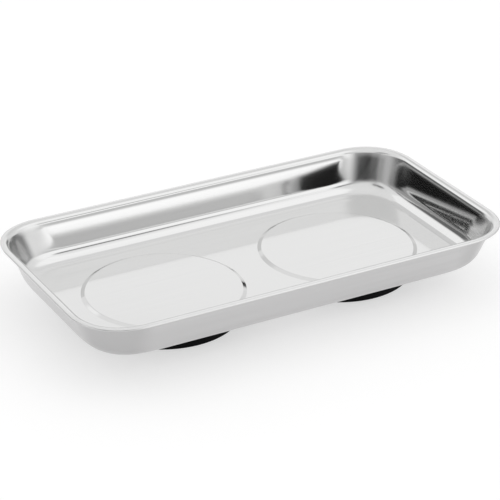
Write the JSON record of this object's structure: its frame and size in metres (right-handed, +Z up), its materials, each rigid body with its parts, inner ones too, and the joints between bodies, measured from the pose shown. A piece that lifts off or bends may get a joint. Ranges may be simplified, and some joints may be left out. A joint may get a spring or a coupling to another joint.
{
  "type": "magnetic parts tray",
  "caption": "Shallow rectangular stainless tray with rounded corners and a folded rim, held to steel by round magnets in black rubber boots under its floor.",
  "frame": {"origin": "middle of the surface that the boots stand on, below the middle of the pan", "axes": "+X along the pan's length, +Y across it away from the picture's viewer, +Z up"},
  "size_m": [0.24, 0.132, 0.0345],
  "materials": {
    "stainless_sheet": "polished",
    "zinc_plated_steel": "satin",
    "ferrite": "matte",
    "black_rubber": "matte"
  },
  "bodies": {
    "root": {"tray_pan": "stainless_sheet", "left_weld_stud": "zinc_plated_steel", "left_ring_magnet": "ferrite", "left_retainer_plate": "zinc_plated_steel", "left_rubber_boot": "black_rubber", "left_flat_washer": "zinc_plated_steel", "left_lock_washer": "zinc_plated_steel", "left_hex_nut": "zinc_plated_steel", "right_weld_stud": "zinc_plated_steel", "right_ring_magnet": "ferrite", "right_retainer_plate": "zinc_plated_steel", "right_rubber_boot": "black_rubber", "right_flat_washer": "zinc_plated_steel", "right_lock_washer": "zinc_plated_steel", "right_hex_nut": "zinc_plated_steel"}
  },
  "joints": []
}
